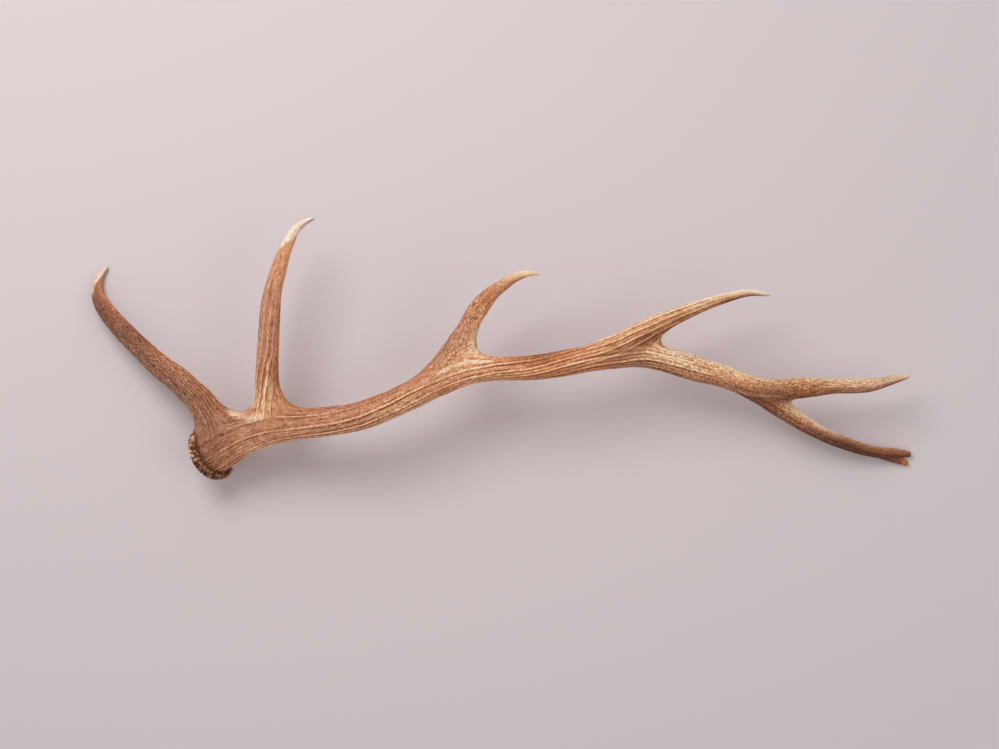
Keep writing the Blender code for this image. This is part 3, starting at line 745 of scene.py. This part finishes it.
def survey(points, normals, limbs):
    """Everything that varies over the skin at each point: relief, grain, ivory, the darkness of
    furrows and paleness of crests with painted shade in hollows, and colour with painted light and
    shade.
    """
    measured = {name: limb.nearest(points) for name, limb in limbs.items()}
    for name, (gap, row) in measured.items():
        near = np.flatnonzero(gap < GRAIN_REACH)
        row[near] = limbs[name].squared(points[near], row[near])
    tines = [name for name in limbs if name not in ("beam", "chip")]
    gaps = np.array([measured[name][0] for name in limbs])
    closeness = {n: np.exp(-(g - gaps.min(0)) / 6.0) for n, g in zip(limbs, gaps)}
    for name in tines:
        closeness[name] *= np.clip((limbs[name].way(measured[name][1]) - 6) / 28, 0, 1)
    beam = limb_relief(limbs["beam"], points, measured["beam"][1])
    tine_closeness = np.array([closeness[name] for name in tines])
    order = np.argsort(-tine_closeness, axis=0)
    first = np.take_along_axis(tine_closeness, order[:1], 0)[0]
    second = np.take_along_axis(tine_closeness, order[1:2], 0)[0]
    share = np.maximum(first - second, 0) / np.maximum(first - second + closeness["beam"], 1e-6)
    tine = {key: np.zeros_like(value) for key, value in beam.items()}
    for number, name in enumerate(tines):
        mine = np.flatnonzero(order[0] == number)
        row = measured[name][1][mine]
        found = limb_relief(limbs[name], points[mine], row)
        add_tip(name, found, points[mine], limbs[name], row)
        for key, value in found.items():
            tine[key][mine] = value
    kinds = ("height", "wear_and_painted_shade", "tone", "ivory", "speckle")
    found = {kind: weigh(beam[kind], tine[kind], share) for kind in kinds}
    found["height"] *= np.clip(1.1 - gaps.min(0) / 6, 0.1, 1)
    found.update(
        flow=weigh(beam["flow"], tine["flow"], share), flow_beam=beam["flow"],
        flow_tine=tine["flow"], tine_share=share, way=beam["way"], measured=measured,
        nearest=np.argmin(gaps, axis=0),
    )
    add_streaks(found, points, normals)
    return found


def add_burr(found, points, limbs):
    """Lumps on the burr, its proud upper pearls paler from rubbing and a painted highlight, painted
    shade behind its rim, its lower side darker, and the pitted seal.
    """
    height, radius, _ = burr_place(points)
    on_seal = np.clip(1 - above_seal(height, radius) / 3.0, 0, 1)
    on_seal *= (radius < SEAL_EDGE) & (height < 0)
    gap, _ = burr_distance(points)
    on_burr = np.clip(1 - gap / 5.0, 0, 1) * (1 - on_seal)
    proud, _ = bone_surface(points, limbs)
    lumps = noise(points / 6.0, 41)
    pits = noise(points / 2.6, 42) + 0.6 * noise(points / 5.5, 43)
    found["height"] *= 1 - on_seal
    found["height"] += on_burr * lumps * 1.1 - on_seal * np.abs(pits)
    found["wear_and_painted_shade"] *= (1 - 0.7 * on_burr) * (1 - on_seal)
    found["wear_and_painted_shade"] += on_seal * (0.6 * pits - 0.2)
    found["wear_and_painted_shade"] += on_burr * (np.clip(proud, 0, 2.2) * 0.8 - 1.0 + lumps * 0.5)
    # Painted shade in the gap between the burr's rim and the root of the beam.
    painted_shade_gap = np.clip(1 - np.abs(height - 8.5) / 4, 0, 1) * np.clip(1 - np.abs(radius - 38) / 6, 0, 1)
    found["wear_and_painted_shade"] -= 1.2 * painted_shade_gap
    # Proud pearls on the upper side painted cream: partly rubbed bone, partly painted highlight.
    rubbed_and_highlit = on_burr * np.clip(proud - 0.5, 0, 1) * np.clip(0.8 + noise(points / 9.0, 46), 0, 1)
    rubbed_and_highlit *= np.clip((points[:, 1] + 176) / 12, 0, 1)
    paint(found, CREAM, 0.85 * rubbed_and_highlit)
    # The burr darker towards its lower side, at -Y.
    darker_below = on_burr * np.clip((-166 - points[:, 1]) / 20, 0, 1)
    found["tone"] *= 1 - darker_below[:, None] * np.array([0.62, 0.56, 0.5])
    paint(found, SEAL_BONE, on_seal * 0.8)
    seal = (height < -BURR_HALF_THICK) & (radius < SEAL_GRAIN_REACH)
    for flow in ("flow_beam", "flow_tine"):
        found[flow][seal] = (points[seal] - burr_frame()[0]) * SEAL_GRAIN


def add_breaks(found, points, normals, limbs):
    """Splinters and bared bone at the broken end of the beam, and the end of the chip beside it."""
    broken = np.clip((found["way"] - limbs["beam"].length + 22) / 16, 0, 1)
    broken *= found["measured"]["beam"][0] < 12
    splinters = grain(found["flow_beam"], "splinter") + noise(points / 2.2, 45)
    found["height"] += broken * splinters * 0.75
    found["wear_and_painted_shade"] += broken * splinters * 0.4
    paint(found, BARE_BONE, broken * np.clip(normals[:, 0] * 2 - 0.8, 0, 1) * 0.7)
    on_chip = found["nearest"] == list(limbs).index("chip")
    paint(found, CHIP_END, on_chip * np.clip((points[:, 0] - 607) / 8, 0, 1) * 0.8)


def geometry_tree(name, inputs):
    """An empty Geometry Nodes tree with a geometry going in and out and named inputs."""
    tree = bpy.data.node_groups.new(name, "GeometryNodeTree")
    tree.interface.new_socket("Geometry", in_out="INPUT", socket_type="NodeSocketGeometry")
    for label, kind in inputs.items():
        tree.interface.new_socket(label, in_out="INPUT", socket_type=kind)
    tree.interface.new_socket("Geometry", in_out="OUTPUT", socket_type="NodeSocketGeometry")
    return tree


def wire(tree, links):
    """Links a tree's nodes: each link is a node and its output, then a node and its input."""
    for source, output, target, socket in links:
        tree.links.new(source.outputs[output], target.inputs[socket])


def finish_tree(tree, source, geometry):
    """Ends a tree in Realize Instances and Set Material."""
    realize = tree.nodes.new("GeometryNodeRealizeInstances")
    paint = tree.nodes.new("GeometryNodeSetMaterial")
    out = tree.nodes.new("NodeGroupOutput")
    tree.links.new(geometry, realize.inputs["Geometry"])
    tree.links.new(realize.outputs["Geometry"], paint.inputs["Geometry"])
    tree.links.new(source.outputs["Material"], paint.inputs["Material"])
    tree.links.new(paint.outputs["Geometry"], out.inputs["Geometry"])


def limb_tube_tree():
    """Sweeps a round tube along a path, as wide as the half width of its points."""
    tree = geometry_tree("Limb tube", {"Sides": "NodeSocketInt", "Material": "NodeSocketMaterial"})
    source = tree.nodes.new("NodeGroupInput")
    path = tree.nodes.new("GeometryNodeMeshToCurve")
    width = tree.nodes.new("GeometryNodeInputNamedAttribute")
    width.inputs["Name"].default_value = "half_width"
    circle = tree.nodes.new("GeometryNodeCurvePrimitiveCircle")
    circle.inputs["Radius"].default_value = 1.0
    sweep = tree.nodes.new("GeometryNodeCurveToMesh")
    sweep.inputs["Fill Caps"].default_value = True
    weld = tree.nodes.new("GeometryNodeMergeByDistance")
    weld.inputs["Distance"].default_value = 0.01 * MM
    wire(tree, [
        (source, "Geometry", path, "Mesh"), (source, "Sides", circle, "Resolution"),
        (circle, "Curve", sweep, "Profile Curve"), (path, "Curve", sweep, "Curve"),
        (width, "Attribute", sweep, "Scale"), (sweep, "Mesh", weld, "Geometry"),
    ])
    finish_tree(tree, source, weld.outputs["Geometry"])
    return tree


def burr_pearls_tree():
    """Sets uneven pearls of bone along a ring."""
    tree = geometry_tree("Burr pearls", {
        "Count": "NodeSocketInt", "Size": "NodeSocketFloat", "Unevenness": "NodeSocketFloat",
        "Seed": "NodeSocketInt", "Material": "NodeSocketMaterial",
    })
    source = tree.nodes.new("NodeGroupInput")
    ring = tree.nodes.new("GeometryNodeMeshToCurve")
    spots = tree.nodes.new("GeometryNodeCurveToPoints")
    stray = tree.nodes.new("FunctionNodeRandomValue")
    stray.data_type = "FLOAT_VECTOR"
    stray.inputs["Min"].default_value = (-1, -1, -1)
    stray.inputs["Max"].default_value = (1, 1, 1)
    stretch = tree.nodes.new("ShaderNodeVectorMath")
    stretch.operation = "SCALE"
    moved = tree.nodes.new("GeometryNodeSetPosition")
    pearl = tree.nodes.new("GeometryNodeMeshIcoSphere")
    pearl.inputs["Subdivisions"].default_value = 3
    shape = tree.nodes.new("FunctionNodeRandomValue")
    shape.data_type = "FLOAT_VECTOR"
    shape.inputs["Min"].default_value = (0.7, 0.7, 0.7)
    shape.inputs["Max"].default_value = (1.35, 1.35, 1.35)
    placed = tree.nodes.new("GeometryNodeInstanceOnPoints")
    wire(tree, [
        (source, "Geometry", ring, "Mesh"), (ring, "Curve", spots, "Curve"),
        (source, "Count", spots, "Count"), (source, "Seed", stray, "Seed"),
        (source, "Seed", shape, "Seed"), (stray, "Value", stretch, 0),
        (source, "Unevenness", stretch, "Scale"), (spots, "Points", moved, "Geometry"),
        (stretch, "Vector", moved, "Offset"), (source, "Size", pearl, "Radius"),
        (moved, "Geometry", placed, "Points"), (pearl, "Mesh", placed, "Instance"),
        (shape, "Value", placed, "Scale"),
    ])
    finish_tree(tree, source, placed.outputs["Instances"])
    return tree


def path_object(name, rows, closed):
    """A path as points and edges, in metres, with its half widths."""
    mesh = bpy.data.meshes.new(name)
    edges = [(i, i + 1) for i in range(len(rows) - 1)]
    if closed:
        edges.append((len(rows) - 1, 0))
    mesh.from_pydata((rows[:, :3] * MM).tolist(), edges, [])
    width = mesh.attributes.new("half_width", "FLOAT", "POINT")
    width.data.foreach_set("value", rows[:, 3] * MM)
    thing = bpy.data.objects.new(name, mesh)
    bpy.context.scene.collection.objects.link(thing)
    return thing


def set_inputs(modifier, values):
    """Sets a Geometry Nodes modifier's inputs by the names of its sockets."""
    for item in modifier.node_group.interface.items_tree:
        if item.item_type == "SOCKET" and item.in_out == "INPUT" and item.name in values:
            modifier[item.identifier] = values[item.name]


def evaluated_mesh(thing):
    """A plain mesh of what an object's modifiers make of it."""
    bpy.context.view_layer.update()
    graph = bpy.context.evaluated_depsgraph_get()
    return bpy.data.meshes.new_from_object(thing.evaluated_get(graph))


def grown(thing, tree, values):
    """Runs a tree on an object and leaves it the plain mesh that comes out."""
    modifier = thing.modifiers.new(tree.name, "NODES")
    modifier.node_group = tree
    set_inputs(modifier, values)
    mesh = evaluated_mesh(thing)
    thing.modifiers.clear()
    thing.data = mesh
    return thing


def ring_rows(radius, height, count):
    """Rows of a ring round the burr's axis."""
    centre, axis, side, up = burr_frame()
    turns = np.linspace(0, 2 * math.pi, count, endpoint=False)[:, None]
    ring = centre + axis * height + radius * (np.cos(turns) * side + np.sin(turns) * up)
    return np.column_stack([ring, np.ones(count)])


def burr_rows():
    """Rows through the plain disc that the burr grows on."""
    centre, axis, _, _ = burr_frame()
    heights = (-BURR_HALF_THICK, 0, BURR_HALF_THICK)
    return np.array([[*(centre + axis * height), BURR_RADIUS] for height in heights])


def joined(objects):
    """One object out of several."""
    with bpy.context.temp_override(active_object=objects[0], selected_editable_objects=objects):
        bpy.ops.object.join()
    return objects[0]


def read_points(mesh):
    """The mesh's points in millimetres."""
    flat = np.empty(len(mesh.vertices) * 3)
    mesh.vertices.foreach_get("co", flat)
    return flat.reshape(-1, 3) / MM


def write_points(mesh, points):
    """Moves the mesh's points to places given in millimetres."""
    mesh.vertices.foreach_set("co", (points * MM).ravel())
    mesh.update()


def read_normals(mesh):
    """The direction in which the mesh faces at each of its points."""
    flat = np.empty(len(mesh.vertices) * 3, np.float32)
    mesh.vertex_normals.foreach_get("vector", flat)
    return flat.reshape(-1, 3).astype(float)


def reskin(thing, voxel):
    """Gives an object one closed skin of even squares."""
    skin = thing.modifiers.new("Skin", "REMESH")
    skin.mode = "VOXEL"
    skin.voxel_size = voxel * MM
    mesh = evaluated_mesh(thing)
    thing.modifiers.clear()
    thing.data = mesh


def bone_skin(limbs, material):
    """The whole antler as one fine skin, with its webs and the pearls of the burr."""
    tube_tree, pearl_tree = limb_tube_tree(), burr_pearls_tree()

    def tube(name, rows, sides=TUBE_SIDES):
        values = {"Sides": sides, "Material": material}
        return grown(path_object(name, rows, False), tube_tree, values)

    solids = [
        tube(name, smooth_path(limb.spec["points"], TUBE_STEP)) for name, limb in limbs.items()
    ]
    solids.append(tube("burr_disc", burr_rows(), BURR_SIDES))
    skin = joined(solids)
    for voxel, passes in ((COARSE_VOXEL, 6), (MIDDLE_VOXEL, 4)):
        reskin(skin, voxel)
        write_points(skin.data, settle(read_points(skin.data), limbs, passes, FAR))
    pearls = [
        grown(path_object("pearls", ring_rows(radius, height, RING_ROWS), True), pearl_tree, {
            "Count": count, "Size": size * MM, "Unevenness": stray * MM, "Seed": number,
            "Material": material,
        })
        for number, (radius, height, count, size, stray) in enumerate(PEARL_RINGS)
    ]
    tips = [
        tube(name, smooth_path(limb.spec["points"], TIP_STEP)[-TIP_ROWS:])
        for name, limb in limbs.items()
    ]
    skin = joined([skin] + pearls + tips)
    reskin(skin, FINE_VOXEL)
    write_points(skin.data, settle(read_points(skin.data), limbs, 2, 0.6))
    return skin


def faces_of(mesh):
    """The squares of a skin as rows of four point numbers."""
    corners = np.empty(len(mesh.loops), np.int32)
    mesh.loops.foreach_get("vertex_index", corners)
    totals = np.empty(len(mesh.polygons), np.int32)
    mesh.polygons.foreach_get("loop_total", totals)
    if (totals != 4).any():
        raise ValueError("the skin has faces that aren't squares")
    return corners.reshape(-1, 4)


def name_pieces(points, found, faces, limbs):
    """The piece that each face belongs to, as a number in SLOTS."""
    order = list(SLOTS)
    middles = points[faces].mean(1)
    beam, beam_way = limbs["beam"], found["way"][faces].mean(1)
    passed = sum((beam.beyond_cut(cut, middles, beam_way) > 0).astype(int) for cut in BEAM_CUTS)
    piece = np.array([order.index(name) for name in BEAM_PIECES])[passed]
    near = found["nearest"][faces[:, 0]]
    for name, (cut, web_reach) in SAW_CUTS.items():
        limb = limbs[name]
        gap, row = found["measured"][name]
        way = limb.way(row)[faces].mean(1)
        piece[near == list(limbs).index(name)] = order.index(TINE_ROOTS[name])
        beyond = (limb.beyond_cut(cut, middles, way) > 0) & (gap[faces].mean(1) < web_reach)
        piece[beyond] = order.index(TINE_PIECES[name])
    return piece


def straighten_cuts(points, faces, piece, limbs):
    """Moves the points where two pieces meet onto the plane of the saw between them."""
    low, high = np.full(len(points), len(SLOTS)), np.full(len(points), -1)
    for corner in range(4):
        np.minimum.at(low, faces[:, corner], piece)
        np.maximum.at(high, faces[:, corner], piece)
    shared = np.flatnonzero(low != high)
    cuts = [(name, cut) for name, (cut, _) in SAW_CUTS.items()]
    cuts += [("beam", cut) for cut in BEAM_CUTS]
    for name, cut in cuts:
        centre, tangent = limbs[name].saw_plane(cut)
        offset = (points[shared] - centre) @ tangent
        radius = np.linalg.norm(points[shared] - centre, axis=1)
        mine = (np.abs(offset) < SAW_SNAP) & (radius < SAW_REACH)
        points[shared[mine]] -= offset[mine, None] * tangent


def rim_loops(faces):
    """The open rims of a patch of faces, each as point numbers in order."""
    edges = np.vstack([faces[:, [i, (i + 1) % 4]] for i in range(4)])
    known = set(map(tuple, edges.tolist()))
    following = {}
    for a, b in known:
        if (b, a) not in known:
            following.setdefault(b, []).append(a)
    loops = []
    while following:
        start = next(iter(following))
        loop, point = [], start
        while point in following:
            loop.append(point)
            onward = following[point].pop()
            if not following[point]:
                del following[point]
            point = onward
            if point == start:
                break
        loops.append(loop)
    return loops


def store(mesh, name, kind, field, values):
    """Keeps a value for each point of the mesh under a name that its material reads."""
    mesh.attributes.new(name, kind, "POINT").data.foreach_set(field, np.ravel(values))


def cut_piece(name, points, normals, faces, found, material):
    """One limb out of the skin, closed where it was sawn and shaded as one with its neighbours."""
    used, inside = np.unique(faces, return_inverse=True)
    faces = inside.reshape(-1, 4)
    mesh = bpy.data.meshes.new(name)
    mesh.from_pydata((points[used] * MM).tolist(), [], faces.tolist() + rim_loops(faces))
    mesh.shade_smooth()
    mesh.normals_split_custom_set_from_vertices(normals[used].tolist())
    for label in ("flow_beam", "flow_tine"):
        store(mesh, label, "FLOAT_VECTOR", "vector", found[label][used])
    for label in ("tine_share", "wear_and_painted_shade", "ivory", "speckle"):
        store(mesh, label, "FLOAT", "value", found[label][used])
    tone = np.column_stack([found["tone"][used], np.ones(len(used))])
    store(mesh, "tone", "FLOAT_COLOR", "color", tone)
    mesh.materials.append(material)
    piece = bpy.data.objects.new(name, mesh)
    bpy.context.scene.collection.objects.link(piece)
    return piece


def bone_group():
    """The grain of antler: streaks along the grain, dark furrows with painted shade in hollows, crests
    pale from rubbing, and specks.
    """
    group = bpy.data.node_groups.new("Antler bone", "ShaderNodeTree")
    for label, value in {
        "Streak Length": 10.0, "Streak Width": 1.3, "Furrow Dark": 0.85, "Crest Pale": 0.8,
        "Speck Amount": 0.8,
    }.items():
        socket = group.interface.new_socket(label, in_out="INPUT", socket_type="NodeSocketFloat")
        socket.default_value = value
    for label, kind in {"Color": "Color", "Roughness": "Float", "Height": "Float"}.items():
        group.interface.new_socket(label, in_out="OUTPUT", socket_type="NodeSocket" + kind)
    nodes, links = group.nodes, group.links
    source, out = nodes.new("NodeGroupInput"), nodes.new("NodeGroupOutput")

    def attribute(name, output):
        """A value kept on the mesh."""
        node = nodes.new("ShaderNodeAttribute")
        node.attribute_name = name
        return node.outputs[output]

    def join(value, socket):
        """Links an output to a socket, or sets the socket to a plain value."""
        if hasattr(value, "is_linked"):
            links.new(value, socket)
        else:
            socket.default_value = value

    def maths(operation, first, second=0.0, third=0.0, clamp=False):
        """One sum of up to three values."""
        node = nodes.new("ShaderNodeMath")
        node.operation = operation
        node.use_clamp = clamp
        join(first, node.inputs[0])
        join(second, node.inputs[1])
        join(third, node.inputs[2])
        return node.outputs[0]

    def mixed(factor, first, second, kind="MIX"):
        """Two colours mixed by a factor."""
        node = nodes.new("ShaderNodeMix")
        node.data_type = "RGBA"
        node.blend_type = kind
        join(factor, node.inputs["Factor"])
        join(first, node.inputs[6])
        join(second, node.inputs[7])
        return node.outputs[2]

    def tinted(colour, factors):
        """A colour times three factors, kept below white."""
        result = mixed(1.0, colour, factors, "MULTIPLY")
        result.node.clamp_result = True
        return result

    def spread(value, low, high):
        """0 up to the low value and 1 from the high one, and smooth between them."""
        node = nodes.new("ShaderNodeMapRange")
        node.interpolation_type = "SMOOTHSTEP"
        join(value, node.inputs["Value"])
        join(low, node.inputs["From Min"])
        join(high, node.inputs["From Max"])
        return node.outputs["Result"]

    def streaks(length, width, detail):
        """Noise drawn out along the grain of the beam and of the tine, mixed where they meet."""
        parts = []
        for name in ("flow_beam", "flow_tine"):
            scale = nodes.new("ShaderNodeCombineXYZ")
            join(length, scale.inputs["X"])
            join(width, scale.inputs["Y"])
            join(width, scale.inputs["Z"])
            shrunk = nodes.new("ShaderNodeVectorMath")
            shrunk.operation = "DIVIDE"
            links.new(attribute(name, "Vector"), shrunk.inputs[0])
            links.new(scale.outputs["Vector"], shrunk.inputs[1])
            texture = nodes.new("ShaderNodeTexNoise")
            texture.inputs["Scale"].default_value = 1.0
            texture.inputs["Detail"].default_value = detail
            texture.inputs["Roughness"].default_value = 0.6
            links.new(shrunk.outputs["Vector"], texture.inputs["Vector"])
            parts.append(texture.outputs["Fac"])
        difference = maths("SUBTRACT", parts[1], parts[0])
        return maths("MULTIPLY_ADD", difference, attribute("tine_share", "Fac"), parts[0])

    ivory = attribute("ivory", "Fac")
    bare = maths("MULTIPLY_ADD", ivory, -0.85, 1.0)
    length, width = source.outputs["Streak Length"], source.outputs["Streak Width"]
    marked = attribute("speckle", "Fac")
    thread = maths("SUBTRACT", streaks(length, width, 2.0), 0.5)
    pebble = maths("SUBTRACT", streaks(2.8, 1.6, 2.0), 0.5)
    pebbled = maths("MULTIPLY", marked, 0.75)
    thread = maths("MULTIPLY_ADD", maths("SUBTRACT", pebble, thread), pebbled, thread)
    speck = maths("SUBTRACT", streaks(4.0, 2.1, 1.0), 0.5)
    blot = maths("SUBTRACT", streaks(11.0, 3.4, 1.0), 0.5)
    broad = maths("SUBTRACT", streaks(60.0, 8.0, 2.0), 0.5)
    wear_and_shade = maths("MULTIPLY_ADD", thread, maths("MULTIPLY", bare, 3.2), attribute("wear_and_painted_shade", "Fac"))
    wear_and_shade = maths("MULTIPLY_ADD", broad, maths("MULTIPLY", bare, 0.9), wear_and_shade)
    speckle = maths("MULTIPLY", marked, source.outputs["Speck Amount"])
    speckle = maths("MULTIPLY", speckle, bare)
    # Darkens the furrows, and also the painted shade in hollows.
    furrow = maths("MULTIPLY", spread(wear_and_shade, 0.08, -0.95), source.outputs["Furrow Dark"])
    crest = maths("MULTIPLY", spread(wear_and_shade, 0.05, 1.0), source.outputs["Crest Pale"])
    tone = attribute("tone", "Color")
    colour = mixed(furrow, tone, tinted(tone, FURROW_TINT))
    colour = mixed(maths("MULTIPLY", crest, bare), colour, tinted(tone, CREST_TINT))
    specks = maths("MULTIPLY", spread(speck, 0.02, 0.14), speckle)
    colour = mixed(specks, colour, tinted(colour, SPECK_TINT))
    blots = maths("MULTIPLY", spread(blot, 0.08, 0.2), speckle)
    colour = mixed(maths("MULTIPLY", blots, 0.6), colour, tinted(colour, BLOT_TINT))
    flecks = maths("MULTIPLY", spread(speck, -0.02, -0.14), speckle)
    colour = mixed(maths("MULTIPLY", flecks, 0.9), colour, tinted(colour, FLECK_TINT))
    palest = mixed(1.0, colour, PALEST, "DARKEN")
    links.new(palest, out.inputs["Color"])
    rough = maths("MULTIPLY_ADD", furrow, 0.3, 0.58)
    rough = maths("MULTIPLY_ADD", crest, -0.18, rough)
    rough = maths("MULTIPLY_ADD", ivory, -0.2, rough, clamp=True)
    links.new(rough, out.inputs["Roughness"])
    fine = maths("SUBTRACT", thread, maths("MULTIPLY", speck, speckle))
    links.new(maths("MULTIPLY", fine, bare), out.inputs["Height"])
    return group


def bone_material(name, group, values):
    """A material slot of the antler, with its own strengths of the shared bone."""
    material = bpy.data.materials.new(name)
    material.use_nodes = True
    nodes, links = material.node_tree.nodes, material.node_tree.links
    shader = nodes["Principled BSDF"]
    bone = nodes.new("ShaderNodeGroup")
    bone.node_tree = group
    for label, value in values.items():
        bone.inputs[label].default_value = value
    bump = nodes.new("ShaderNodeBump")
    bump.inputs["Strength"].default_value = 0.7
    bump.inputs["Distance"].default_value = 1.0 * MM
    links.new(bone.outputs["Color"], shader.inputs["Base Color"])
    links.new(bone.outputs["Roughness"], shader.inputs["Roughness"])
    links.new(bone.outputs["Height"], bump.inputs["Height"])
    links.new(bump.outputs["Normal"], shader.inputs["Normal"])
    shader.inputs["Specular IOR Level"].default_value = 0.3
    return material


def plain_material(name, colour, roughness):
    """A material of one colour, given in screen values."""
    material = bpy.data.materials.new(name)
    material.use_nodes = True
    shader = material.node_tree.nodes["Principled BSDF"]
    shader.inputs["Base Color"].default_value = (*linear(colour), 1)
    shader.inputs["Roughness"].default_value = roughness
    return material


def dress_antler():
    """Builds the skin, divides it at the saw cuts and puts each piece in the place of its node."""
    limbs = {name: Limb(spec) for name, spec in LIMBS.items()}
    group = bone_group()
    materials = {slot: bone_material(slot, group, values) for slot, values in BONES.items()}
    skin = bone_skin(limbs, materials["beam"])
    points = read_points(skin.data)
    found = survey(points, read_normals(skin.data), limbs)
    add_burr(found, points, limbs)
    add_breaks(found, points, read_normals(skin.data), limbs)
    points = points + read_normals(skin.data) * found["height"][:, None]
    points = np.clip(points, np.array(cad_low) / MM, np.array(cad_high) / MM)
    faces = faces_of(skin.data)
    piece = name_pieces(points, found, faces, limbs)
    straighten_cuts(points, faces, piece, limbs)
    write_points(skin.data, points)
    normals = read_normals(skin.data)
    bpy.data.objects.remove(skin)
    for number, (name, slot) in enumerate(SLOTS.items()):
        part = cut_piece(
            "bone_" + name, points, normals, faces[piece == number], found, materials[slot]
        )
        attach(part, "root")
        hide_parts(name)


def add_floor():
    """The plain pale surface that the antler lies on."""
    mesh = bpy.data.meshes.new("floor")
    corners = [(-1, -1), (1, -1), (1, 1), (-1, 1)]
    mesh.from_pydata([(x * FLOOR_HALF, y * FLOOR_HALF, 0) for x, y in corners], [], [(0, 1, 2, 3)])
    mesh.materials.append(plain_material("pale floor", FLOOR_COLOUR, 0.9))
    floor = bpy.data.objects.new("floor", mesh)
    bpy.context.scene.collection.objects.link(floor)


def add_light(name, place, size, power, colour):
    """A round soft light that is aimed at the middle of the floor."""
    light = bpy.data.lights.new(name, "AREA")
    light.shape = "DISK"
    light.size = size
    light.energy = power
    light.color = colour
    lamp = bpy.data.objects.new(name, light)
    lamp.location = place
    lamp.rotation_euler = (-Vector(place)).to_track_quat("-Z", "Y").to_euler()
    bpy.context.scene.collection.objects.link(lamp)


def add_studio():
    """Soft daylight from above and the left of the picture, with a pale surround."""
    world = bpy.data.worlds.new("studio")
    world.use_nodes = True
    background = world.node_tree.nodes["Background"]
    background.inputs["Color"].default_value = SURROUND
    background.inputs["Strength"].default_value = SURROUND_STRENGTH
    bpy.context.scene.world = world
    for name, values in LIGHTS.items():
        add_light(name, **values)
    bpy.context.scene.view_settings.view_transform = "Standard"


def add_camera():
    """Straight above the antler, framed as the photograph is."""
    lens = bpy.data.cameras.new("camera")
    lens.lens = CAMERA_LENS
    lens.sensor_width = CAMERA_SENSOR
    camera = bpy.data.objects.new("camera", lens)
    camera.location = CAMERA_PLACE
    bpy.context.scene.collection.objects.link(camera)
    bpy.context.scene.camera = camera


dress_antler()
add_floor()
add_studio()
add_camera()
